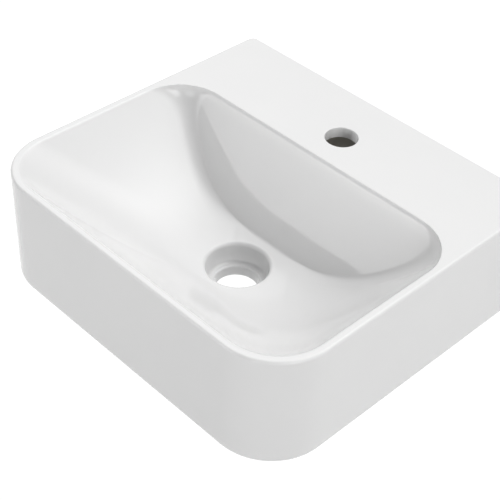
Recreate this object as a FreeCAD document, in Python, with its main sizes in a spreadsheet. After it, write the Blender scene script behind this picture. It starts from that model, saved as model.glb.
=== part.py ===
"""Wall hung basin: one glazed china casting and the two fixings that carry it on the wall.

Frame: millimetres, +Z up. The origin lies on the wall face, midway between the two
fixings. The basin reaches out towards -Y and is symmetric about X = 0.
"""
import FreeCAD, Part
import math
import os
import Sketcher

V = FreeCAD.Vector
TOUCH = 0.01

# ------------------------------------------------------------------ driving dimensions
SIZES = [
    # outer body
    ("basin_width", 410, "overall width"),
    ("basin_depth", 370, "wall face to front face"),
    ("basin_height", 130, "rim to foot"),
    ("front_corner", 64, "plan radius of the two front corners"),
    ("back_corner", 8, "plan radius of the two corners at the wall"),
    ("rim_edge", 2.8, "rounding of the outer rim edge"),
    ("foot_edge", 7.5, "rounding of the outer foot edge"),
    ("skirt_wall", 11, "thickness of the side and front skirt"),
    ("back_wall", 13, "thickness of the panel against the wall"),
    ("deck_wall", 12, "thickness of the tap deck"),
    ("shell_wall", 11, "thickness of the bowl shell"),
    # bowl
    ("deck_depth", 112.5, "wall face to rear edge of the bowl"),
    ("rim_width", 8, "rim between bowl and outer face, at the sides and front"),
    ("bowl_front_corner", 57, "plan radius of the bowl at the front"),
    ("bowl_rear_corner", 54, "plan radius of the bowl at the rear"),
    ("front_swell", 14, "how much the front corners open out half way down"),
    ("rear_nip", 9, "how much the rear corners draw in half way down"),
    ("bowl_depth", 91, "rim to the level floor round the waste"),
    ("floor_margin", 6, "width of that level floor, from the recess out to the dish"),
    ("side_curve", 2.2, "power of the dish profile at the sides"),
    ("front_curve", 1.4, "power of the dish profile at the front"),
    ("rear_valley", 6.7, "depth of the curve between the rear wall and the level floor"),
    ("rear_bow", 0.726, "straight share of the rear wall's lean, the rest grows downwards"),
    ("bowl_edge", 1.4, "rounding of the bowl's upper edge"),
    ("tap_setback", 69.5, "wall face to tap hole centre"),
    ("tap_bore", 35, "bore of the tap hole"),
    ("tap_edge", 0.8, "rounding of the tap hole's upper edge"),
    ("hollow_corner", 10, "plan radius of the open underside at the wall"),
    ("hollow_round", 8, "rounding inside the open underside, below the deck"),
    # waste outlet
    ("waste_setback", 214.5, "wall face to waste centre"),
    ("waste_bore", 46, "bore of the waste hole"),
    ("seat_drop", 113.5, "rim to the seat of the waste flange"),
    ("seat_width", 59, "diameter of the flange seat"),
    ("recess_width", 67, "diameter of the recess where it meets the floor"),
    ("waste_wall", 12, "thickness of the china under the seat"),
    ("waste_boss", 84, "diameter of the boss under the recess, at its flat underside"),
    ("boss_root", 96, "diameter of that boss where it leaves the bowl shell"),
    ("waste_edge", 2.4, "rounding of the waste hole's upper edge"),
    ("recess_edge", 4, "rounding where the recess leaves the floor"),
    # wall fixings
    ("fixing_spacing", 280, "distance between the two fixings"),
    ("fixing_drop", 65, "rim to fixing centres"),
    ("fixing_bore", 18, "hole in the back panel"),
    ("pad_width", 46, "diameter of the thickened pad round the hole"),
    ("pad_height", 4, "height of that pad"),
    ("bush_clearance", 0.3, "radial play of the bush in its hole and round the bolt"),
    ("bush_reach", 12, "length of the bush in its hole"),
    ("bush_flange", 30, "diameter of the bush flange"),
    ("bush_flange_thick", 3, "thickness of the bush flange"),
    ("washer_width", 24, "diameter of the washer"),
    ("washer_thick", 2, "thickness of the washer"),
    ("bolt_width", 10, "outside diameter of the hanger bolt's wood thread"),
    ("thread_width", 9, "mean diameter of its machine thread, where the nut grips"),
    ("bolt_grip", 60, "length of bolt in the wall"),
    ("bolt_tail", 7, "length of bolt that stands proud of the nut"),
    ("bolt_point", 9, "length of the pointed end"),
    ("bolt_tip", 1.6, "diameter of the blunt tip"),
    ("bolt_bevel", 1, "bevel at the nut end of the bolt"),
    ("thread_clearance", 0.1, "radial play of the nut on that mean diameter"),
    ("washer_clearance", 0.25, "radial play of the washer round the bolt"),
    ("nut_flats", 17, "nut across flats"),
    ("nut_height", 8, "nut height"),
]

doc = FreeCAD.newDocument("WallHungBasin")
sheet = doc.addObject("Spreadsheet::Sheet", "Sizes")
for row, (alias, value, note) in enumerate(SIZES, start=1):
    sheet.set("A%d" % row, alias)
    sheet.set("B%d" % row, str(value))
    sheet.set("C%d" % row, note)
    sheet.setAlias("B%d" % row, alias)
doc.recompute()


def size(expression):
    """The value of an expression over the sheet, for starting geometry and edge picking."""
    return float(sheet.evalExpression(expression))


# ------------------------------------------------------------------ derived expressions
RIM = "Sizes.fixing_drop"
FOOT = "(Sizes.fixing_drop - Sizes.basin_height)"
WALL_FACE = "0"
SEAT = "(Sizes.fixing_drop - Sizes.seat_drop)"
FLOOR = "(Sizes.fixing_drop - Sizes.bowl_depth)"
FLOOR_HALF = "(Sizes.recess_width / 2 + Sizes.floor_margin)"
FRONT_POWER = "Sizes.side_curve / Sizes.front_curve"
PAD_DEPTH = "(Sizes.back_wall + Sizes.pad_height)"
SIDES = (("left", -1), ("right", 1))
DISH_HALF = "(Sizes.basin_width / 2 - Sizes.rim_width)"
DISH_REACH = "(Sizes.basin_depth - Sizes.rim_width - Sizes.waste_setback)"
OVERRUN = "1"                  # how far a cutting tool runs past the face that it opens


def origin_plane(body, role):
    return [item for item in body.Origin.OriginFeatures if item.Role == role][0]


def new_sketch(body, name, role, level):
    sketch = body.newObject("Sketcher::SketchObject", name)
    sketch.AttachmentSupport = [(origin_plane(body, role), "")]
    sketch.MapMode = "FlatFace"
    sketch.setExpression("AttachmentOffset.Base.z", level)
    return sketch


def drive(sketch, constraint, name, expression):
    index = sketch.addConstraint(constraint)
    sketch.renameConstraint(index, name)
    sketch.setExpression("Constraints." + name, expression)


def rounded_plan(body, name, level, half, front, rear, front_round, rear_round):
    """A plan outline, symmetric about the Y axis: two rear and two front corner arcs."""
    sketch = new_sketch(body, name, "XY_Plane", level)
    w = size(half)
    f = -size(front)
    r = -size(rear)
    fr = size(front_round)
    rr = size(rear_round)
    up = V(0, 0, 1)
    quarter = math.pi / 2

    def line(x0, y0, x1, y1):
        sketch.addGeometry(Part.LineSegment(V(x0, y0, 0), V(x1, y1, 0)), False)

    def arc(x, y, radius, turn):
        circle = Part.Circle(V(x, y, 0), up, radius)
        sketch.addGeometry(Part.ArcOfCircle(circle, turn * quarter, (turn + 1) * quarter), False)

    line(-w + rr, r, w - rr, r)
    line(w, r - rr, w, f + fr)
    line(w - fr, f, -w + fr, f)
    line(-w, f + fr, -w, r - rr)
    arc(w - rr, r - rr, rr, 0)
    arc(w - fr, f + fr, fr, 3)
    arc(-w + fr, f + fr, fr, 2)
    arc(-w + rr, r - rr, rr, 1)
    joints = [(0, 2, 4, 2), (4, 1, 1, 1), (1, 2, 5, 2), (5, 1, 2, 1),
              (2, 2, 6, 2), (6, 1, 3, 1), (3, 2, 7, 2), (7, 1, 0, 1)]
    for first, first_end, second, second_end in joints:
        sketch.addConstraint(Sketcher.Constraint("Tangent", first, first_end, second, second_end))
    sketch.addConstraint(Sketcher.Constraint("Vertical", 1))
    sketch.addConstraint(Sketcher.Constraint("Horizontal", 2))
    sketch.addConstraint(Sketcher.Constraint("Vertical", 3))
    sketch.addConstraint(Sketcher.Constraint("Equal", 4, 7))
    sketch.addConstraint(Sketcher.Constraint("Equal", 5, 6))
    sketch.addConstraint(Sketcher.Constraint("Symmetric", 0, 1, 0, 2, -2))
    drive(sketch, Sketcher.Constraint("DistanceX", -1, 1, 1, 1, w), "half", half)
    drive(sketch, Sketcher.Constraint("DistanceY", 2, 1, -1, 1, -f), "front", front)
    drive(sketch, Sketcher.Constraint("DistanceY", 0, 1, -1, 1, -r), "rear", rear)
    drive(sketch, Sketcher.Constraint("Radius", 5, fr), "front_round", front_round)
    drive(sketch, Sketcher.Constraint("Radius", 4, rr), "rear_round", rear_round)
    return sketch


def new_body(label):
    body = doc.addObject("PartDesign::Body", label)
    body.Label = label
    return body


# ------------------------------------------------------------------ china casting
def outer_form():
    """The outside of the casting: a rounded block with its rim and foot edges eased."""
    body = new_body("OuterForm")
    plan = rounded_plan(body, "OuterPlan", FOOT, "Sizes.basin_width / 2", "Sizes.basin_depth",
                        WALL_FACE, "Sizes.front_corner", "Sizes.back_corner")
    pad = body.newObject("PartDesign::Pad", "OuterPad")
    pad.Profile = plan
    pad.setExpression("Length", "Sizes.basin_height")
    doc.recompute()
    rim = ease(body, "RimEdge", pad, ring_at(pad.Shape, size(RIM)), "Sizes.rim_edge")
    ease(body, "FootEdge", rim, ring_at(rim.Shape, size(FOOT)), "Sizes.foot_edge")
    return body


def ring_at(shape, level):
    """Names of the edges that lie flat at one level, apart from the one along the wall."""
    names = []
    for number, edge in enumerate(shape.Edges, start=1):
        box = edge.BoundBox
        flat = abs(box.ZMin - level) < TOUCH and abs(box.ZMax - level) < TOUCH
        if flat and box.YMin < -TOUCH:
            names.append("Edge%d" % number)
    return names


def ease(body, name, base, edges, radius):
    feature = body.newObject("PartDesign::Fillet", name)
    feature.Base = (base, edges)
    feature.setExpression("Radius", radius)
    doc.recompute()
    return feature


# Each step of the bowl is a level outline: 1 is the outline at the rim, 0 the one at the floor.
BOWL_STEPS = (1.0, 0.96, 0.9, 0.8, 0.66, 0.5, 0.34, 0.18, 0.0)
SKIN_OUT = 0.4                 # share of the skin that grows sideways at the floor
SKIN_LEAN = 0.45               # how much of it turns from downwards to sideways by the rim
FLOOR_CORNER = 0.94            # corner radius of the floor outline, in half floor widths


def bowl_outline(body, number, step, skin):
    """One level outline of the bowl, grown outwards and downwards by a skin thickness."""
    share = "%g" % step
    fall = "(1 - %s^Sizes.side_curve)" % share
    depth = "Sizes.bowl_depth * " + fall
    grow = "%s * (%g + %g * %s)" % (skin, SKIN_OUT, SKIN_LEAN, share)
    drop = "%s * (1 - %g * %s^2)" % (skin, SKIN_LEAN, share)

    def between(at_floor, at_rim, power):
        return "%s + (%s - %s) * %s^(%s)" % (at_floor, at_rim, at_floor, share, power)

    floor_rear = "Sizes.waste_setback - " + FLOOR_HALF
    lean = "(%s - Sizes.deck_depth - Sizes.rear_valley)" % floor_rear
    bow = "(Sizes.rear_bow * %s + (1 - Sizes.rear_bow) * %s^2)" % (fall, fall)
    rear = "Sizes.deck_depth + %s * %s" % (lean, bow)
    if step == 0:
        rear = floor_rear
    bend = "4 * %s * (1 - %s)" % (share, share)
    floor_corner = "(%g * %s)" % (FLOOR_CORNER, FLOOR_HALF)
    front_round = between(floor_corner, "Sizes.bowl_front_corner", "1")
    rear_round = between(floor_corner, "Sizes.bowl_rear_corner", "1")
    return rounded_plan(
        body, "%sLevel%d" % (body.Label, number), "%s - %s - %s" % (RIM, depth, drop),
        between(FLOOR_HALF, DISH_HALF, "1") + " + " + grow,
        "Sizes.waste_setback + " + between(FLOOR_HALF, DISH_REACH, FRONT_POWER) + " + " + grow,
        rear + " - " + grow,
        "%s + Sizes.front_swell * %s + %s" % (front_round, bend, grow),
        "%s - Sizes.rear_nip * %s + %s" % (rear_round, bend, grow))


def bowl_form(label, skin, facetted):
    """The bowl as a loft down through its level outlines: a steep rear wall and a dish.

    The glazed inside is one smooth skin. The unseen underside runs straight between levels.
    """
    body = new_body(label)
    outlines = [bowl_outline(body, number, step, skin) for number, step in enumerate(BOWL_STEPS)]
    doc.recompute()
    feature = body.newObject("PartDesign::AdditiveLoft", label + "Loft")
    feature.Profile = outlines[0]
    feature.Sections = outlines[1:]
    feature.Ruled = facetted
    doc.recompute()
    return body


def hollow_form():
    """The open underside, before the bowl shell, waste boss and fixing pads stand in it."""
    body = new_body("HollowForm")
    inner_round = "Sizes.front_corner - Sizes.skirt_wall"
    plan = rounded_plan(body, "HollowPlan", FOOT, "Sizes.basin_width / 2 - Sizes.skirt_wall",
                        "Sizes.basin_depth - Sizes.skirt_wall", "Sizes.back_wall",
                        inner_round, "Sizes.hollow_corner")
    pad = body.newObject("PartDesign::Pad", "HollowPad")
    pad.Profile = plan
    pad.setExpression("Length", "Sizes.basin_height - Sizes.deck_wall")
    doc.recompute()
    roof = ["Edge%d" % number for number, edge in enumerate(pad.Shape.Edges, start=1)
            if abs(edge.BoundBox.ZMin - size(RIM + " - Sizes.deck_wall")) < TOUCH]
    ease(body, "HollowRoof", pad, roof, "Sizes.hollow_round")
    return body


def upright(name, radius, setback, low, height):
    """A plain upright cylinder on the middle line, at a setback from the wall."""
    post = doc.addObject("Part::Cylinder", name)
    post.setExpression("Radius", radius)
    post.setExpression("Height", height)
    post.setExpression("Placement.Base.y", "-(%s)" % setback)
    post.setExpression("Placement.Base.z", low)
    return post


def upright_cone(name, low_radius, high_radius, low, height):
    """A tapered post round the waste axis."""
    cone = doc.addObject("Part::Cone", name)
    cone.setExpression("Radius1", low_radius)
    cone.setExpression("Radius2", high_radius)
    cone.setExpression("Height", height)
    cone.setExpression("Placement.Base.y", "-Sizes.waste_setback")
    cone.setExpression("Placement.Base.z", low)
    return cone


def wallward(name, radius, side, start, length):
    """A cylinder across the back panel at one fixing, from `start` in front of the wall."""
    post = doc.addObject("Part::Cylinder", name)
    post.Placement = FreeCAD.Placement(V(0, 0, 0), FreeCAD.Rotation(V(1, 0, 0), -90))
    post.setExpression("Radius", radius)
    post.setExpression("Height", length)
    post.setExpression("Placement.Base.x", "%d * Sizes.fixing_spacing / 2" % side)
    post.setExpression("Placement.Base.y", "-(%s)" % start)
    return post


def fused(name, shapes):
    feature = doc.addObject("Part::MultiFuse", name)
    feature.Shapes = shapes
    return feature


def cut(name, base, tool):
    feature = doc.addObject("Part::Cut", name)
    feature.Base = base
    feature.Tool = tool
    return feature


def casting():
    """The one china piece: block, less bowl, waste outlet, tap hole and open underside."""
    outer = outer_form()
    bowl = bowl_form("BowlForm", "0", False)
    shell = bowl_form("ShellForm", "Sizes.shell_wall", True)
    hollow = hollow_form()
    under_seat = SEAT + " - Sizes.waste_wall"
    boss = upright_cone("WasteBoss", "Sizes.waste_boss / 2", "Sizes.boss_root / 2",
                        under_seat, "Sizes.waste_wall + Sizes.seat_drop - Sizes.bowl_depth")
    pads = [wallward("FixingPad%s" % name, "Sizes.pad_width / 2", side,
                     PAD_DEPTH, "Sizes.pad_height + " + OVERRUN)
            for name, side in SIDES]
    cavity = cut("Underside", hollow, fused("InHollow", [shell, boss] + pads))
    recess = upright_cone("WasteRecess", "Sizes.seat_width / 2", "Sizes.recess_width / 2",
                          SEAT, "%s - (%s)" % (FLOOR, SEAT))
    waste = upright("WasteHole", "Sizes.waste_bore / 2", "Sizes.waste_setback",
                    under_seat + " - " + OVERRUN, "Sizes.waste_wall + 2 * " + OVERRUN)
    tap = upright("TapHole", "Sizes.tap_bore / 2", "Sizes.tap_setback",
                  RIM + " - Sizes.deck_wall - " + OVERRUN,
                  "Sizes.deck_wall + 2 * " + OVERRUN)
    holes = [wallward("FixingHole%s" % name, "Sizes.fixing_bore / 2", side,
                      PAD_DEPTH + " + " + OVERRUN, PAD_DEPTH + " + 2 * " + OVERRUN)
             for name, side in SIDES]
    voids = fused("Voids", [bowl, recess, waste, tap, cavity] + holes)
    plain = cut("PlainCasting", outer, voids)
    doc.recompute()
    finished = doc.addObject("Part::Fillet", "basin")
    finished.Base = plain
    finished.Edges = glazed_edges(plain.Shape)
    doc.recompute()
    return finished


def glazed_edges(shape):
    """The edges that the glaze rounds over: bowl lip, recess, waste lip and tap hole."""
    rim = size(RIM)
    rings = [(rim, 0, size("Sizes.tap_setback"), size("Sizes.tap_bore") / 2, "Sizes.tap_edge"),
             (size(SEAT), 0, size("Sizes.waste_setback"), size("Sizes.waste_bore") / 2,
              "Sizes.waste_edge"),
             (size(FLOOR), 0, size("Sizes.waste_setback"), size("Sizes.recess_width") / 2,
              "Sizes.recess_edge")]
    edges = []
    for number, edge in enumerate(shape.Edges, start=1):
        box = edge.BoundBox
        if box.ZLength > TOUCH:
            continue
        for level, x, setback, radius, name in rings:
            middle = edge.valueAt((edge.FirstParameter + edge.LastParameter) / 2)
            off = math.hypot(middle.x - x, middle.y + setback)
            if abs(box.ZMin - level) < TOUCH and abs(off - radius) < TOUCH:
                edges.append((number, size(name), size(name)))
        lip = (abs(box.ZMin - rim) < TOUCH and box.YMax < -size("Sizes.deck_depth") + 1
               and box.XMax < size(DISH_HALF) + 1 and box.XMin > -size(DISH_HALF) - 1
               and box.YMin > -size("Sizes.basin_depth - Sizes.rim_width") - 1)
        if lip:
            edges.append((number, size("Sizes.bowl_edge"), size("Sizes.bowl_edge")))
    return edges


# ------------------------------------------------------------------ wall fixings
def turned(label, side, stations):
    """A piece turned about the bolt axis. Stations are (radius, distance behind the wall)."""
    body = new_body(label)
    sketch = new_sketch(body, label + "Profile", "XY_Plane", WALL_FACE)
    corners = [V(size(radius), size(along), 0) for radius, along in stations]
    count = len(corners)
    for number in range(count):
        line = Part.LineSegment(corners[number], corners[(number + 1) % count])
        sketch.addGeometry(line, False)
    for number in range(count):
        sketch.addConstraint(
            Sketcher.Constraint("Coincident", number, 2, (number + 1) % count, 1))
    for number, (radius, along) in enumerate(stations):
        drive(sketch, Sketcher.Constraint("DistanceX", -1, 1, number, 1, corners[number].x),
              "radius%d" % number, radius)
        drive(sketch, Sketcher.Constraint("DistanceY", -1, 1, number, 1, corners[number].y),
              "along%d" % number, along)
    turn = body.newObject("PartDesign::Revolution", label + "Turn")
    turn.Profile = sketch
    turn.ReferenceAxis = (sketch, ["V_Axis"])
    turn.Angle = 360
    body.setExpression("Placement.Base.x", "%d * Sizes.fixing_spacing / 2" % side)
    return body


PAD_FACE = "-" + PAD_DEPTH
FLANGE_FACE = PAD_FACE + " - Sizes.bush_flange_thick"
WASHER_FACE = FLANGE_FACE + " - Sizes.washer_thick"
NUT_FACE = WASHER_FACE + " - Sizes.nut_height"


def hanger_bolt(name, side):
    """A stud: a wood thread for the wall plug, then a machine thread for the nut."""
    reach = "Sizes.bolt_width / 2"
    mean = "Sizes.thread_width / 2"
    tail = NUT_FACE + " - Sizes.bolt_tail"
    point = "Sizes.bolt_grip - Sizes.bolt_point"
    return turned("hanger_bolt_" + name, side, [
        ("0", tail), (mean + " - Sizes.bolt_bevel", tail),
        (mean, tail + " + Sizes.bolt_bevel"), (mean, WALL_FACE), (reach, WALL_FACE),
        (reach, point),
        ("Sizes.bolt_tip / 2", "Sizes.bolt_grip"), ("0", "Sizes.bolt_grip")])


def fixing_bush(name, side):
    """A flanged nylon bush that keeps the metal off the china."""
    bore = "Sizes.bolt_width / 2 + Sizes.bush_clearance"
    sleeve = "Sizes.fixing_bore / 2 - Sizes.bush_clearance"
    end = PAD_FACE + " + Sizes.bush_reach"
    return turned("fixing_bush_" + name, side, [
        (bore, FLANGE_FACE), ("Sizes.bush_flange / 2", FLANGE_FACE),
        ("Sizes.bush_flange / 2", PAD_FACE), (sleeve, PAD_FACE), (sleeve, end), (bore, end)])


def fixing_washer(name, side):
    bore = "Sizes.bolt_width / 2 + Sizes.washer_clearance"
    edge = "Sizes.washer_width / 2"
    return turned("fixing_washer_" + name, side, [
        (bore, WASHER_FACE), (edge, WASHER_FACE), (edge, FLANGE_FACE), (bore, FLANGE_FACE)])


def fixing_nut(name, side):
    """A hexagon nut: a prism, its corners bevelled by a turned blank, then bored."""
    corner = "Sizes.nut_flats / sqrt(3)"
    prism = doc.addObject("Part::Prism", "NutPrism" + name)
    prism.Polygon = 6
    prism.Placement = FreeCAD.Placement(V(0, 0, 0), FreeCAD.Rotation(V(1, 0, 0), -90))
    prism.setExpression("Circumradius", corner)
    prism.setExpression("Height", "Sizes.nut_height")
    prism.setExpression("Placement.Base.x", "%d * Sizes.fixing_spacing / 2" % side)
    prism.setExpression("Placement.Base.y", NUT_FACE)
    flat = "Sizes.nut_flats / 2"
    bevel = "(%s - %s) * tan(30)" % (corner, flat)
    bore = "Sizes.thread_width / 2 + Sizes.thread_clearance"
    blank = turned("NutBlank" + name, side, [
        (bore, NUT_FACE), (flat, NUT_FACE), (corner, NUT_FACE + " + " + bevel),
        (corner, WASHER_FACE), (bore, WASHER_FACE)])
    nut = doc.addObject("Part::Common", "fixing_nut_" + name)
    nut.Base = prism
    nut.Tool = blank
    return nut


# ------------------------------------------------------------------ build and write
def build():
    pieces = [casting()]
    for name, side in SIDES:
        for make in (hanger_bolt, fixing_bush, fixing_washer, fixing_nut):
            pieces.append(make(name, side))
    doc.recompute()
    return pieces


def check(pieces):
    for item in doc.Objects:
        if "Invalid" in item.State or "Error" in item.State:
            raise RuntimeError("%s did not build: %s" % (item.Label, item.State))
    for piece in pieces:
        if piece.Shape.isNull() or not piece.Shape.isValid():
            raise RuntimeError("%s has no valid solid" % piece.Label)


def write(pieces):
    os.makedirs("parts", exist_ok=True)
    for piece in pieces:
        piece.Shape.exportStep("parts/%s.step" % piece.Label)
        print("%-22s %10.0f mm3  %d solid(s)"
              % (piece.Label, piece.Shape.Volume, len(piece.Shape.Solids)))


pieces = build()
check(pieces)
write(pieces)
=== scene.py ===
"""A wall hung china basin with its hidden wall fixings, on a pale floor in soft light.

Metres, +Z up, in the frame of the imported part: the origin lies on the wall face, midway
between the two fixings, and the basin reaches out towards -Y. Pieces are built in
millimetres and scaled once, when their mesh is finished.
"""
import math

import bmesh
import bpy
from mathutils import Matrix, Vector


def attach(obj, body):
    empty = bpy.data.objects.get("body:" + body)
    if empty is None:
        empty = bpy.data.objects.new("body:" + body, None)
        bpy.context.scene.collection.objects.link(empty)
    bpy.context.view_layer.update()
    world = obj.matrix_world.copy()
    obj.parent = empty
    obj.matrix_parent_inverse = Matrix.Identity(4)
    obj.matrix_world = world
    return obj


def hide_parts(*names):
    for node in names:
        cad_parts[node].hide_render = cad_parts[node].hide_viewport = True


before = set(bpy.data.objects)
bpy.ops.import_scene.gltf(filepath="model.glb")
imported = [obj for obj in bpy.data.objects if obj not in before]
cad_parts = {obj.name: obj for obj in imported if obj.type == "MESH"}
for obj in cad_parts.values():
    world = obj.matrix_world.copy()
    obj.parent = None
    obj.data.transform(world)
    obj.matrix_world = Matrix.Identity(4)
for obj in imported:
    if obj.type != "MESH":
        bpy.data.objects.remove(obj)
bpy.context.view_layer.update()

MM = 0.001

# ------------------------------------------------------------------ sizes of the casting
WIDTH = 410
DEPTH = 370
RIM = 65
FOOT = -65
FRONT_CORNER = 64
BACK_CORNER = 8
SKIRT = 11
BACK_PANEL = 13
DECK_WALL = 12
RIM_WIDTH = 8
DECK_DEPTH = 112.5
BOWL_DEPTH = 91
WASTE_SETBACK = 214.5
WASTE_BORE = 46
RECESS_WIDTH = 67
FLOOR_HALF = RECESS_WIDTH / 2 + 6
REAR_VALLEY = 6.7
VALLEY_SHARE = 0.18            # of the way out from the floor, which the valley takes up
LIP_DROP = 0.034               # share of the depth over which the rear wall starts upright
CREASE = 14                    # plan radius where the rear wall meets the sides of the bowl
LIP_FRONT_ROUND = 57
LIP_REAR_ROUND = 54
FRONT_SWELL = 14               # by which the front corners are rounder halfway down
SIDE_CURVE = 2.2               # how late the sides of the bowl level out, and its front
FRONT_CURVE = 1.4
FLOOR = RIM - BOWL_DEPTH
SEAT = -48.5
BOSS_FOOT = -60.5
TAP_SETBACK = 69.5
TAP_BORE = 35
FIXING_X = 140

# steps round a corner, and along the straight stretches between corners
CORNER_STEPS = 20
LONG_CUTS = 19
SIDE_CUTS = 11


# ------------------------------------------------------------------ modelling helpers
def finish_mesh(bm, name, finishes, smooth_angle=32):
    """Scales a finished bmesh to metres and makes it a smooth-shaded object."""
    bmesh.ops.remove_doubles(bm, verts=bm.verts, dist=0.0005)
    bmesh.ops.recalc_face_normals(bm, faces=bm.faces)
    bmesh.ops.scale(bm, vec=(MM, MM, MM), verts=bm.verts)
    mesh = bpy.data.meshes.new(name)
    bm.to_mesh(mesh)
    bm.free()
    for finish in finishes:
        mesh.materials.append(finish)
    mesh.shade_smooth()
    mesh.set_sharp_from_angle(angle=math.radians(smooth_angle))
    piece = bpy.data.objects.new(name, mesh)
    bpy.context.scene.collection.objects.link(piece)
    return piece


def outline(bm, half, front, rear, front_round, rear_round, level):
    """One level ring of edges: a rectangle with its front and rear corners rounded."""
    corners = bmesh.ops.create_grid(bm, x_segments=1, y_segments=1, size=1)["verts"]
    place = Matrix.Translation((0, -(front + rear) / 2, level))
    stretch = Matrix.Diagonal((half, (front - rear) / 2, 1, 1))
    bmesh.ops.transform(bm, matrix=place @ stretch, verts=corners)
    middle = -(front + rear) / 2
    at_front = [vert for vert in corners if vert.co.y < middle]
    at_rear = [vert for vert in corners if vert.co.y > middle]
    for verts, radius in ((at_front, front_round), (at_rear, rear_round)):
        bmesh.ops.bevel(bm, geom=verts, offset=radius, offset_type="OFFSET",
                        segments=CORNER_STEPS, profile=0.5, affect="VERTICES", material=-1)
    bmesh.ops.delete(bm, geom=bm.faces[:], context="FACES_ONLY")
    for axis, cuts in ((1, LONG_CUTS), (0, SIDE_CUTS)):
        straight = [edge for edge in newest_ring(bm)
                    if abs(edge.verts[0].co[axis] - edge.verts[1].co[axis]) < 1e-4]
        bmesh.ops.subdivide_edges(bm, edges=straight, cuts=cuts)
    return newest_ring(bm)


def newest_ring(bm):
    """All edges of the loose ring that was made last."""
    bm.verts.ensure_lookup_table()
    ring = set()
    ends = [bm.verts[-1]]
    while ends:
        end = ends.pop()
        fresh = set(end.link_edges) - ring
        ring |= fresh
        ends += [edge.other_vert(end) for edge in fresh]
    return list(ring)


def skin(bm, rings):
    """Joins each ring of edges to the next."""
    for lower, upper in zip(rings, rings[1:]):
        bmesh.ops.bridge_loops(bm, edges=lower + upper)


def cap(bm, ring):
    bmesh.ops.edgeloop_fill(bm, edges=ring)


def eased(before, corner, after, steps=6):
    """Sections that round a corner of the profile off, tangent to both of its sides."""
    sections = []
    for step in range(steps + 1):
        turn = math.pi / 2 * step / steps
        pull_in = 1 - math.sin(turn)
        pull_out = 1 - math.cos(turn)
        sections.append(tuple(c + (b - c) * pull_in + (a - c) * pull_out
                              for b, c, a in zip(before, corner, after)))
    return sections


def shrunk(section, inset, level=None):
    """The same plan, drawn in by an inset all round."""
    half, front, rear, front_round, rear_round, height = section
    return (half - inset, front - inset, rear + inset, front_round - inset,
            max(rear_round - inset, 0.5), height if level is None else level)


def turned(bm, profile, axis, centre, steps=96):
    """A closed solid turned about an axis. The profile is (radius, distance along) points."""
    axis = Vector(axis)
    across = Vector((1, 0, 0))
    centre = Vector(centre)
    verts = [bm.verts.new(centre + across * radius + axis * along) for radius, along in profile]
    edges = [bm.edges.new(pair) for pair in zip(verts, verts[1:])]
    bmesh.ops.spin(bm, geom=verts + edges, cent=centre, axis=axis, angle=math.tau,
                   steps=steps, use_merge=True)
    bmesh.ops.remove_doubles(bm, verts=bm.verts, dist=0.0005)


def cutter(bm, name):
    """A solid that only serves to cut another one. It is removed once it has cut."""
    return finish_mesh(bm, name, [])


def carve(piece, tools, operation="DIFFERENCE"):
    """Cuts the tools out of a piece, one after the other, and removes them."""
    for tool in tools:
        cut = piece.modifiers.new(tool.name, "BOOLEAN")
        cut.operation = operation
        cut.solver = "EXACT"
        cut.object = tool
    looks = bpy.context.evaluated_depsgraph_get()
    mesh = bpy.data.meshes.new_from_object(piece.evaluated_get(looks))
    piece.modifiers.clear()
    piece.data = mesh
    bm = bmesh.new()
    bm.from_mesh(mesh)
    bmesh.ops.remove_doubles(bm, verts=bm.verts, dist=0.01 * MM)
    bm.to_mesh(mesh)
    bm.free()
    for tool in tools:
        bpy.data.meshes.remove(tool.data)


# ------------------------------------------------------------------ form of the casting
DISH_HALF = WIDTH / 2 - RIM_WIDTH
DISH_REACH = DEPTH - RIM_WIDTH - WASTE_SETBACK
REAR_RUN = WASTE_SETBACK - FLOOR_HALF - DECK_DEPTH - REAR_VALLEY


def bowl_level(share, wall=0):
    """One level of the bowl: share 1 is its lip and 0 its floor. A wall grows it outwards."""
    fall = 1 - share ** SIDE_CURVE
    depth = BOWL_DEPTH * fall
    grow = wall * (0.4 + 0.45 * share)
    near_floor = max(0, 1 - share / VALLEY_SHARE)
    upright = LIP_DROP * (1 - math.exp(-fall / LIP_DROP))
    lean = (fall - upright) / (1 - LIP_DROP)
    rear = DECK_DEPTH + REAR_RUN * lean + REAR_VALLEY * near_floor ** 2
    bend = 4 * share * (1 - share)
    floor_round = 0.94 * FLOOR_HALF
    front_round = floor_round + (LIP_FRONT_ROUND - floor_round) * share + FRONT_SWELL * bend
    rear_round = (CREASE + (LIP_REAR_ROUND - CREASE) * share ** 14
                  + (floor_round - CREASE) * (1 - share) ** 6)
    return (FLOOR_HALF + (DISH_HALF - FLOOR_HALF) * share + grow,
            WASTE_SETBACK + FLOOR_HALF + (DISH_REACH - FLOOR_HALF)
            * share ** (SIDE_CURVE / FRONT_CURVE) + grow,
            rear - grow,
            front_round + grow,
            rear_round + grow,
            RIM - depth - wall * (1 - 0.45 * share ** 2))


def outer_level(inset, level, rear=0):
    """One level of the outside walls. Their rear stays on the wall face."""
    return (WIDTH / 2 - inset, DEPTH - inset, rear, FRONT_CORNER - inset,
            max(BACK_CORNER - inset, 0.5), level)


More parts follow.
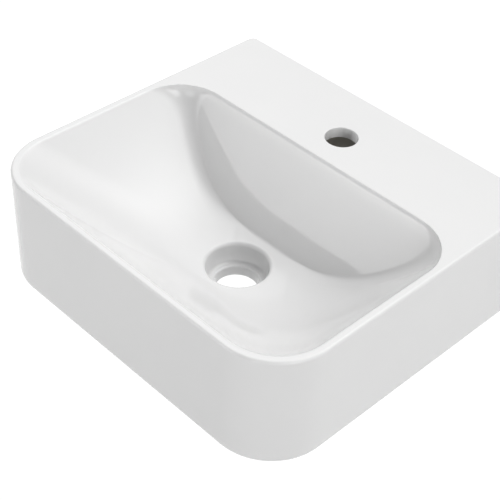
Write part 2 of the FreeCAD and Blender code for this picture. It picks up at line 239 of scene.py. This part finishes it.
def glazed_block():
    """The casting as a solid block: outside walls, rim, deck and bowl down to its floor."""
    bm = bmesh.new()
    sections = eased(outer_level(7.5, FOOT), outer_level(0, FOOT), outer_level(0, FOOT + 7.5), 8)
    sections += [outer_level(0, FOOT + 9), outer_level(0, 0), outer_level(0, RIM - 4)]
    sections += eased(outer_level(0, RIM - 2.8), outer_level(0, RIM), outer_level(2.8, RIM), 6)
    sections.append(outer_level(3.3, RIM, rear=0.5))
    lip = bowl_level(1)
    sections.append(shrunk(lip, -1.6))
    sections += eased(shrunk(lip, -1.1), lip, bowl_level(0.993), 5)
    shares = [0.985, 0.975, 0.96, 0.94] + [0.92 - 0.03 * step for step in range(29)]
    sections += [bowl_level(share) for share in shares + [0.055, 0.035, 0.018, 0]]
    rings = [outline(bm, *section) for section in sections]
    skin(bm, rings)
    cap(bm, rings[0])
    cap(bm, rings[-1])
    return finish_mesh(bm, "basin_china", [])


def waste_cutter():
    """The recess for the waste flange, its flat seat and the hole below, edges rounded."""
    bore = WASTE_BORE / 2
    profile = [(0, FOOT - 6), (bore, FOOT - 6)]
    profile += eased((bore, SEAT - 2.4), (bore, SEAT), (bore + 2.4, SEAT), 5)
    profile += eased((27.6, SEAT), (29.5, SEAT), (30.3, SEAT + 2.3), 4)
    profile += eased((32.8, FLOOR - 3.9), (33.5, FLOOR), (36.9, FLOOR), 6)
    profile += [(36.9, FLOOR + 3), (0, FLOOR + 3)]
    bm = bmesh.new()
    turned(bm, profile, (0, 0, 1), (0, -WASTE_SETBACK, 0), 128)
    return cutter(bm, "waste_outlet")


def underside():
    """The open space under the casting, round the bowl shell, waste boss and fixing pads."""
    bm = bmesh.new()
    room = (WIDTH / 2 - SKIRT, DEPTH - SKIRT, BACK_PANEL, FRONT_CORNER - SKIRT, 10, 0)
    roof = RIM - DECK_WALL

    def wall(inset, level):
        return shrunk(room, inset, level)

    sections = [wall(-0.2, FOOT - 4), wall(0, FOOT + 3), wall(0, 0)]
    sections += eased(wall(0, roof - 8), wall(0, roof), wall(8, roof), 6)
    rings = [outline(bm, *section) for section in sections]
    skin(bm, rings)
    cap(bm, rings[0])
    cap(bm, rings[-1])
    room_tool = cutter(bm, "underside_room")

    bm = bmesh.new()
    shares = [1 - 0.04 * step for step in range(26)]
    sections = [bowl_level(1, 11)[:5] + (RIM + 5,)]
    sections += [bowl_level(share, 11) for share in shares]
    rings = [outline(bm, *section) for section in sections]
    skin(bm, rings)
    cap(bm, rings[0])
    cap(bm, rings[-1])
    shell = cutter(bm, "bowl_shell")

    bm = bmesh.new()
    turned(bm, [(0, BOSS_FOOT)] + eased((39, BOSS_FOOT), (42, BOSS_FOOT), (42.5, BOSS_FOOT + 3), 4)
           + [(48, -24), (0, -24)], (0, 0, 1), (0, -WASTE_SETBACK, 0))
    boss = cutter(bm, "waste_boss")

    pads = []
    for side in (-1, 1):
        bm = bmesh.new()
        turned(bm, [(0, -BACK_PANEL + 2), (23, -BACK_PANEL + 2)]
               + eased((23, -15.8), (23, -17), (21.8, -17), 4) + [(0, -17)],
               (0, 1, 0), (side * FIXING_X, 0, 0), 64)
        pads.append(cutter(bm, "fixing_pad"))
    carve(room_tool, [shell, boss] + pads)
    return room_tool


def tap_cutter():
    """A plain round hole whose upper edge the glaze has rounded over."""
    bm = bmesh.new()
    radius = TAP_BORE / 2
    rounded = eased((radius, RIM - 0.8), (radius, RIM), (radius + 0.8, RIM), 5)
    turned(bm, [(0, RIM - 20), (radius, RIM - 20)] + rounded
           + [(radius + 0.8, RIM + 2), (0, RIM + 2)], (0, 0, 1), (0, -TAP_SETBACK, 0))
    return cutter(bm, "tap_hole")


def fixing_cutter(side):
    bm = bmesh.new()
    turned(bm, [(0, -20), (9, -20), (9, 3), (0, 3)], (0, 1, 0), (side * FIXING_X, 0, 0), 64)
    return cutter(bm, "fixing_hole")


def china_casting(glaze, bare):
    """The casting with its underside opened, unglazed inside, on its back and on its foot."""
    piece = glazed_block()
    hollow = underside()
    for tool in (piece, hollow):
        tool.data.materials.append(glaze)
        tool.data.materials.append(bare)
    for face in hollow.data.polygons:
        face.material_index = 1
    carve(piece, [hollow, waste_cutter(), tap_cutter(), fixing_cutter(-1), fixing_cutter(1)])
    mesh = piece.data
    for face in mesh.polygons:
        at_wall = face.center.y > -0.02 * MM and face.normal.y > 0.9
        at_foot = face.center.z < (FOOT + 0.02) * MM and face.normal.z < -0.9
        if at_wall or at_foot:
            face.material_index = 1
    mesh.shade_smooth()
    mesh.set_sharp_from_angle(angle=math.radians(30))
    even = piece.modifiers.new("even_shading", "WEIGHTED_NORMAL")
    even.keep_sharp = True
    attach(piece, "root")
    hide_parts("basin")


# ------------------------------------------------------------------ finishes
def new_finish(name):
    """A finish, with its shader and the Object coordinates that its patterns read."""
    finish = bpy.data.materials.new(name)
    finish.use_nodes = True
    nodes = finish.node_tree.nodes
    shader = nodes["Principled BSDF"]
    place = nodes.new("ShaderNodeTexCoord")
    return finish, shader, place


def grain(finish, place, scale, detail=3, stretch=None):
    """Noise over the Object coordinates, so that it stays put on the piece."""
    nodes = finish.node_tree.nodes
    links = finish.node_tree.links
    noise = nodes.new("ShaderNodeTexNoise")
    noise.inputs["Scale"].default_value = scale
    noise.inputs["Detail"].default_value = detail
    source = place.outputs["Object"]
    if stretch:
        turn = nodes.new("ShaderNodeMapping")
        turn.inputs["Scale"].default_value = stretch
        links.new(source, turn.inputs["Vector"])
        source = turn.outputs["Vector"]
    links.new(source, noise.inputs["Vector"])
    return noise


def tone(finish, noise, socket, low, high, span=(0.3, 0.7)):
    """Spreads a noise between two values and feeds it to a shader socket."""
    links = finish.node_tree.links
    if isinstance(low, tuple):
        ramp = finish.node_tree.nodes.new("ShaderNodeValToRGB")
        ramp.color_ramp.elements[0].position = span[0]
        ramp.color_ramp.elements[1].position = span[1]
        ramp.color_ramp.elements[0].color = low
        ramp.color_ramp.elements[1].color = high
        links.new(noise.outputs["Fac"], ramp.inputs["Fac"])
        links.new(ramp.outputs["Color"], socket)
    else:
        spread = finish.node_tree.nodes.new("ShaderNodeMapRange")
        spread.inputs["From Min"].default_value = span[0]
        spread.inputs["From Max"].default_value = span[1]
        spread.inputs["To Min"].default_value = low
        spread.inputs["To Max"].default_value = high
        links.new(noise.outputs["Fac"], spread.inputs["Value"])
        links.new(spread.outputs["Result"], socket)


def relief(finish, shader, noise, height, strength=1.0, under=None):
    """Bump from a noise, with its height in metres. It may lie on top of another bump."""
    bump = finish.node_tree.nodes.new("ShaderNodeBump")
    bump.inputs["Distance"].default_value = height
    bump.inputs["Strength"].default_value = strength
    links = finish.node_tree.links
    links.new(noise.outputs["Fac"], bump.inputs["Height"])
    if under:
        links.new(under.outputs["Normal"], bump.inputs["Normal"])
    links.new(bump.outputs["Normal"], shader.inputs["Normal"])
    return bump


def white_glaze():
    """Fired white glaze: a clear gloss over an even body, with a slow ripple in it."""
    finish, shader, place = new_finish("white_glaze")
    shader.inputs["IOR"].default_value = 1.6
    cloud = grain(finish, place, 9, 2)
    tone(finish, cloud, shader.inputs["Base Color"], (0.80, 0.80, 0.80, 1),
         (0.815, 0.815, 0.813, 1))
    haze = grain(finish, place, 34, 3)
    tone(finish, haze, shader.inputs["Roughness"], 0.04, 0.08)
    swell = relief(finish, shader, grain(finish, place, 26, 1), 0.00012, 0.6)
    relief(finish, shader, grain(finish, place, 420, 2), 0.000006, 0.6, swell)
    return finish


def bare_china():
    """Unglazed fired body: matt and buff, with a fine pitted grain."""
    finish, shader, place = new_finish("bare_china")
    shader.inputs["Specular IOR Level"].default_value = 0.15
    tone(finish, grain(finish, place, 60, 4), shader.inputs["Base Color"],
         (0.36, 0.34, 0.305, 1), (0.42, 0.40, 0.36, 1))
    tone(finish, grain(finish, place, 180, 2), shader.inputs["Roughness"], 0.62, 0.8)
    coarse = relief(finish, shader, grain(finish, place, 300, 3), 0.00015, 0.7)
    relief(finish, shader, grain(finish, place, 1600, 2), 0.00005, 0.7, coarse)
    return finish


def zinc_plate():
    """Bright zinc plate: pale steel with faint turning marks and soft dull patches."""
    finish, shader, place = new_finish("zinc_plate")
    shader.inputs["Metallic"].default_value = 1.0
    tone(finish, grain(finish, place, 260, 3), shader.inputs["Base Color"],
         (0.60, 0.62, 0.65, 1), (0.74, 0.75, 0.76, 1))
    tone(finish, grain(finish, place, 500, 3), shader.inputs["Roughness"], 0.24, 0.42)
    marks = grain(finish, place, 900, 2, (1, 6, 1))
    relief(finish, shader, marks, 0.00004, 0.5)
    return finish


def white_nylon():
    """Moulded nylon: off-white, satin, with a fine moulded grain."""
    finish, shader, place = new_finish("white_nylon")
    shader.inputs["Subsurface Weight"].default_value = 0.1
    shader.inputs["Subsurface Radius"].default_value = (0.002, 0.0018, 0.0015)
    tone(finish, grain(finish, place, 90, 2), shader.inputs["Base Color"],
         (0.80, 0.79, 0.75, 1), (0.85, 0.845, 0.81, 1))
    tone(finish, grain(finish, place, 400, 2), shader.inputs["Roughness"], 0.38, 0.5)
    relief(finish, shader, grain(finish, place, 1300, 2), 0.00003, 0.6)
    return finish


# ------------------------------------------------------------------ wall fixings
BORE_X = {"left": -FIXING_X, "right": FIXING_X}
PAD_FACE = -17
FLANGE_FACE = -20
WASHER_FACE = -22
NUT_FACE = -30
BOLT_TAIL = -37
BOLT_POINT = 60
PITCH = 1.5                    # of the machine thread, and its radii at root and crest
THREAD_ROOT = 4.1
THREAD_CREST = 5.0
WOOD_PITCH = 4.5               # of the wood thread
WOOD_ROOT = 3.5
NECK = 4.55                    # radius of the plain neck between the threads
NUT_ACROSS = 17                # across its flats
NUT_FLAT = 8.2                 # radius of the flat that the bevel leaves on its end
WASHER_BORE = 5.25             # radii of the washer and of the bush
WASHER_RADIUS = 12
BUSH_BORE = 5.3
FLANGE_RADIUS = 15
SLEEVE_RADIUS = 8.7


def thread(bm, x, root, crest, pitch, flat, start, end, steps=36):
    """A threaded rod along the bolt axis: one tooth of profile, spun along its helix."""
    turns = math.ceil((end - start) / pitch) + 2
    centre = Vector((x, 0, 0))
    tooth = [(root, 0), (root, 0.25 - flat / 2), (crest, 0.5 - flat / 2), (crest, 0.5 + flat / 2),
             (root, 0.75 + flat / 2), (root, 1)]
    first = WASHER_FACE - pitch * math.ceil((WASHER_FACE - start) / pitch + 1)
    verts = [bm.verts.new(centre + Vector((radius, first + pitch * along, 0)))
             for radius, along in tooth]
    edges = [bm.edges.new(pair) for pair in zip(verts, verts[1:])]
    bmesh.ops.spin(bm, geom=verts + edges, cent=centre, axis=(0, 1, 0),
                   dvec=(0, pitch / steps, 0), angle=math.tau * turns, steps=steps * turns,
                   use_merge=False)
    bmesh.ops.remove_doubles(bm, verts=bm.verts, dist=0.002)
    for level, outward in ((start, -1), (end, 1)):
        everything = bm.verts[:] + bm.edges[:] + bm.faces[:]
        cut = bmesh.ops.bisect_plane(bm, geom=everything, dist=0.0005, plane_co=(x, level, 0),
                                     plane_no=(0, outward, 0), clear_outer=True)["geom_cut"]
        ring = [item for item in cut if isinstance(item, bmesh.types.BMEdge)]
        bmesh.ops.edgeloop_fill(bm, edges=ring)


def taper(bm, x, level, end, share):
    """Draws one end of a rod in towards its axis, down to a share of its width."""
    for vert in bm.verts:
        past = (vert.co.y - level) / (end - level)
        if past > 0:
            pull = 1 - (1 - share) * past
            vert.co.x = x + (vert.co.x - x) * pull
            vert.co.z *= pull


def add_shell(bm, shell):
    """Moves one more closed shell into a piece."""
    carrier = bpy.data.meshes.new("shell")
    shell.to_mesh(carrier)
    shell.free()
    bm.from_mesh(carrier)
    bpy.data.meshes.remove(carrier)


def ring(x, profile, steps=72):
    """A ring turned about the bolt axis, its profile closed on itself."""
    bm = bmesh.new()
    turned(bm, profile + profile[:1], (0, 1, 0), (x, 0, 0), steps)
    return bm


def fasten(piece, node):
    """Carries a fixing with the basin, in the place of its plain solid."""
    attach(piece, "root")
    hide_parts(node)


def hanger_bolt(side, steel):
    """The stud: machine thread for the nut, plain neck, and wood thread down to its point."""
    x = BORE_X[side]
    rod = bmesh.new()
    shell = bmesh.new()
    thread(shell, x, THREAD_ROOT, THREAD_CREST, PITCH, 0.12, BOLT_TAIL, 0)
    taper(shell, x, BOLT_TAIL + 1, BOLT_TAIL, 0.8)
    add_shell(rod, shell)
    shell = bmesh.new()
    turned(shell, [(0, -1.2), (4.2, -1.2), (NECK, -0.4), (NECK, 5), (3.7, 8), (0, 8)],
           (0, 1, 0), (x, 0, 0), 36)
    add_shell(rod, shell)
    shell = bmesh.new()
    thread(shell, x, WOOD_ROOT, THREAD_CREST, WOOD_PITCH, 0.06, 4, BOLT_POINT)
    taper(shell, x, BOLT_POINT - 9, BOLT_POINT, 0.16)
    taper(shell, x, 6.5, 4, 0.9)
    add_shell(rod, shell)
    piece = finish_mesh(rod, "hanger_bolt_%s_threaded" % side, [steel], 30)
    fasten(piece, "hanger_bolt_" + side)


def fixing_nut(side, steel):
    """A hexagon nut with its corners bevelled, its bore countersunk and threaded."""
    x = BORE_X[side]
    corner = NUT_ACROSS / math.sqrt(3)
    bm = bmesh.new()
    turned(bm, [(0, NUT_FACE), (corner, NUT_FACE), (corner, WASHER_FACE), (0, WASHER_FACE)],
           (0, 1, 0), (x, 0, 0), 6)
    nut = finish_mesh(bm, "fixing_nut_%s_threaded" % side, [steel], 30)
    slope = (corner - NUT_FLAT) * math.tan(math.radians(30))
    bm = bmesh.new()
    turned(bm, [(0, NUT_FACE - 0.5), (NUT_FLAT - 0.5, NUT_FACE - 0.5), (NUT_FLAT, NUT_FACE),
                (corner + 0.01, NUT_FACE + slope), (corner + 0.01, WASHER_FACE + 1),
                (0, WASHER_FACE + 1)], (0, 1, 0), (x, 0, 0), 96)
    carve(nut, [cutter(bm, "nut_blank")], "INTERSECT")
    bm = bmesh.new()
    thread(bm, x, THREAD_ROOT + 0.06, THREAD_CREST + 0.06, PITCH, 0.14,
           NUT_FACE - 2, WASHER_FACE + 2)
    tools = [cutter(bm, "nut_thread")]
    for face, inwards in ((NUT_FACE, 1), (WASHER_FACE, -1)):
        bm = bmesh.new()
        turned(bm, [(0, face - inwards), (6.4, face - inwards), (5.4, face),
                    (4.3, face + 1.1 * inwards), (0, face + 1.1 * inwards)],
               (0, 1, 0), (x, 0, 0), 48)
        tools.append(cutter(bm, "nut_mouth"))
    carve(nut, tools)
    nut.data.shade_smooth()
    nut.data.set_sharp_from_angle(angle=math.radians(25))
    nut.data.materials.clear()
    nut.data.materials.append(steel)
    fasten(nut, "fixing_nut_" + side)


def fixing_washer(side, steel):
    """A stamped washer: rounded over on the nut's side, crisp on the other."""
    bore, rim = WASHER_BORE, WASHER_RADIUS
    profile = eased((bore + 0.35, WASHER_FACE), (bore, WASHER_FACE), (bore, WASHER_FACE + 0.35), 3)
    profile += [(bore, FLANGE_FACE), (rim - 0.1, FLANGE_FACE), (rim, FLANGE_FACE - 0.1)]
    profile += eased((rim, WASHER_FACE + 0.4), (rim, WASHER_FACE), (rim - 0.4, WASHER_FACE), 4)
    piece = finish_mesh(ring(BORE_X[side], profile), "fixing_washer_%s_stamped" % side,
                        [steel], 30)
    fasten(piece, "fixing_washer_" + side)


def fixing_bush(side, nylon):
    """A moulded bush: a flange on the pad and a sleeve with a lead-in in the hole."""
    bore, sleeve, rim = BUSH_BORE, SLEEVE_RADIUS, FLANGE_RADIUS
    profile = [(bore, -5.5), (bore, FLANGE_FACE + 0.4), (bore + 0.4, FLANGE_FACE)]
    profile += eased((rim - 0.7, FLANGE_FACE), (rim, FLANGE_FACE), (rim, FLANGE_FACE + 0.7), 5)
    profile += eased((rim, PAD_FACE - 0.5), (rim, PAD_FACE), (rim - 0.5, PAD_FACE), 4)
    profile += [(sleeve + 0.08, PAD_FACE), (sleeve, PAD_FACE + 0.08), (sleeve, -6.6),
                (sleeve - 0.7, -5), (bore + 0.5, -5)]
    piece = finish_mesh(ring(BORE_X[side], profile), "fixing_bush_%s_moulded" % side,
                        [nylon], 30)
    fasten(piece, "fixing_bush_" + side)


# ------------------------------------------------------------------ stage, light, camera
FLOOR_LEVEL = -850
FLOOR_REACH = 8000
FLOOR_GLOW = 0.50              # to the eye: its own light, and the part that takes a shadow
FLOOR_SHADE = 0.56
FLOOR_TONE = 0.95              # what it gives back to bounced light far out, and right under the basin, where the low tone is painted shade that darkens the hollow and the tap hole
FLOOR_PAINTED_SHADE = 0.02
PAINTED_SHADE_REACH = (0.9, 2.4)       # metres out, between which the painted shade turns into the far tone
CAMERA_PLACE = (0.67579, -0.89230, 0.80596)
CAMERA_BEARING = 0.771242      # radians, as its pitch below level and its roll
CAMERA_PITCH = 0.703658
CAMERA_ROLL = 0.049767
CAMERA_LENS = 89.47
GLOWS = (                      # strength, degrees above level, bearing from the front, focus
    (0.61, 5, -100, 30.0),
    (0.38, 5, -75, 30.0),
    (0.54, 5, -50, 30.0),
    (2.76, 5, -25, 30.0),
    (2.44, 5, 25, 30.0),
    (0.49, 5, 50, 30.0),
    (2.70, 5, 75, 30.0),
    (0.71, 18, -25, 30.0),
    (2.35, 18, 75, 30.0),
    (0.59, 12, 220, 8.0),
    (1.03, 45, 120, 12.0),
    (0.95, 45, 160, 12.0),
    (0.12, 45, 200, 12.0),
    (1.30, 45, 240, 12.0),
    (0.81, 62, 140, 12.0),
    (1.97, 62, 180, 12.0),
    (0.21, 62, 220, 12.0),
    (0.66, 42, 270, 14.0),
    (0.65, 12, -33, 60.0),
)


def lit(nodes, links, *paths):
    """One where a ray is of any of the named kinds, zero elsewhere."""
    light_path = nodes.new("ShaderNodeLightPath")
    found = light_path.outputs[paths[0]]
    for name in paths[1:]:
        either = nodes.new("ShaderNodeMath")
        either.operation = "MAXIMUM"
        links.new(found, either.inputs[0])
        links.new(light_path.outputs[name], either.inputs[1])
        found = either.outputs[0]
    return found


def pale_floor():
    """A floor far below the basin, nearly white to the eye, with the basin's soft shadow. To
    bounced light it is painted nearly black right under the basin, as shade for the hollow.
    """
    finish = bpy.data.materials.new("pale_floor")
    finish.use_nodes = True
    nodes = finish.node_tree.nodes
    links = finish.node_tree.links
    nodes.clear()
    out = nodes.new("ShaderNodeOutputMaterial")
    mix = nodes.new("ShaderNodeMixShader")
    seen = nodes.new("ShaderNodeAddShader")
    pale = nodes.new("ShaderNodeBsdfDiffuse")
    matt = nodes.new("ShaderNodeBsdfDiffuse")
    glow = nodes.new("ShaderNodeEmission")
    pale.inputs["Color"].default_value = (FLOOR_SHADE, FLOOR_SHADE, FLOOR_SHADE, 1)
    place = nodes.new("ShaderNodeTexCoord")
    flat = nodes.new("ShaderNodeVectorMath")
    flat.operation = "MULTIPLY"
    flat.inputs[1].default_value = (1, 1, 0)
    away = nodes.new("ShaderNodeVectorMath")
    away.operation = "LENGTH"
    # painted shade: the floor's tone to bounced light falls to nearly black right under the basin
    shade = nodes.new("ShaderNodeMapRange")
    shade.interpolation_type = "SMOOTHSTEP"
    for socket, value in zip(shade.inputs[1:5], PAINTED_SHADE_REACH + (FLOOR_PAINTED_SHADE, FLOOR_TONE)):
        socket.default_value = value
    links.new(place.outputs["Object"], flat.inputs[0])
    links.new(flat.outputs[0], away.inputs[0])
    links.new(away.outputs["Value"], shade.inputs["Value"])
    links.new(shade.outputs["Result"], matt.inputs["Color"])
    glow.inputs["Color"].default_value = (1, 1, 1, 1)
    glow.inputs["Strength"].default_value = FLOOR_GLOW
    links.new(lit(nodes, links, "Is Camera Ray", "Is Glossy Ray", "Is Transmission Ray"),
              mix.inputs[0])
    links.new(matt.outputs[0], mix.inputs[1])
    links.new(pale.outputs[0], seen.inputs[0])
    links.new(glow.outputs[0], seen.inputs[1])
    links.new(seen.outputs[0], mix.inputs[2])
    links.new(mix.outputs[0], out.inputs["Surface"])
    bm = bmesh.new()
    bmesh.ops.create_grid(bm, x_segments=4, y_segments=4, size=FLOOR_REACH,
                          matrix=Matrix.Translation((0, 0, FLOOR_LEVEL)))
    floor = finish_mesh(bm, "floor", [finish])


def studio_air():
    """Soft light from all round, as broad glows in the air; to the eye the air is white."""
    world = bpy.data.worlds.new("studio_air")
    world.use_nodes = True
    bpy.context.scene.world = world
    nodes = world.node_tree.nodes
    links = world.node_tree.links
    nodes.clear()
    out = nodes.new("ShaderNodeOutputWorld")
    mix = nodes.new("ShaderNodeMixShader")
    air = nodes.new("ShaderNodeBackground")
    seen = nodes.new("ShaderNodeBackground")
    air.inputs["Color"].default_value = (1, 1, 1, 1)
    seen.inputs["Color"].default_value = (1, 1, 1, 1)
    seen.inputs["Strength"].default_value = 1.0
    place = nodes.new("ShaderNodeTexCoord").outputs["Generated"]

    def step(operation, first, second, third=0.0):
        """One sum on the way; each input is a number or another node's result."""
        node = nodes.new("ShaderNodeMath")
        node.operation = operation
        for socket, value in zip(node.inputs, (first, second, third)):
            if isinstance(value, float):
                socket.default_value = value
            else:
                links.new(value, socket)
        return node.outputs[0]

    total = 0.0
    for strength, height, bearing, focus in GLOWS:
        height = math.radians(height)
        bearing = math.radians(bearing)
        facing = nodes.new("ShaderNodeVectorMath")
        facing.operation = "DOT_PRODUCT"
        facing.inputs[1].default_value = (math.sin(bearing) * math.cos(height),
                                          -math.cos(bearing) * math.cos(height),
                                          math.sin(height))
        links.new(place, facing.inputs[0])
        near = step("MULTIPLY_ADD", facing.outputs["Value"], focus, -focus)
        total = step("MULTIPLY_ADD", step("EXPONENT", near, 0.0), strength, total)
    links.new(total, air.inputs["Strength"])
    links.new(lit(nodes, links, "Is Camera Ray"), mix.inputs[0])
    links.new(air.outputs[0], mix.inputs[1])
    links.new(seen.outputs[0], mix.inputs[2])
    links.new(mix.outputs[0], out.inputs["Surface"])


def camera():
    """The picture's own camera: front right, about forty degrees above level."""
    flat = math.cos(CAMERA_PITCH)
    ahead = Vector((-math.sin(CAMERA_BEARING) * flat, math.cos(CAMERA_BEARING) * flat,
                    -math.sin(CAMERA_PITCH)))
    level = Vector((math.cos(CAMERA_BEARING), math.sin(CAMERA_BEARING), 0))
    down = ahead.cross(level)
    right = math.cos(CAMERA_ROLL) * level - math.sin(CAMERA_ROLL) * down
    up = -(math.sin(CAMERA_ROLL) * level + math.cos(CAMERA_ROLL) * down)
    view = bpy.data.cameras.new("camera")
    view.lens = CAMERA_LENS
    view.sensor_width = 36
    view.clip_start = 0.05
    view.clip_end = 100
    stand = bpy.data.objects.new("camera", view)
    turn = Matrix((right, up, -ahead)).transposed().to_4x4()
    stand.matrix_world = Matrix.Translation(CAMERA_PLACE) @ turn
    bpy.context.scene.collection.objects.link(stand)
    bpy.context.scene.camera = stand


# ------------------------------------------------------------------ the scene
glaze = white_glaze()
china_casting(glaze, bare_china())
steel = zinc_plate()
nylon = white_nylon()
for side in ("left", "right"):
    hanger_bolt(side, steel)
    fixing_nut(side, steel)
    fixing_washer(side, steel)
    fixing_bush(side, nylon)

pale_floor()
studio_air()
camera()
bpy.context.scene.view_settings.view_transform = "Standard"
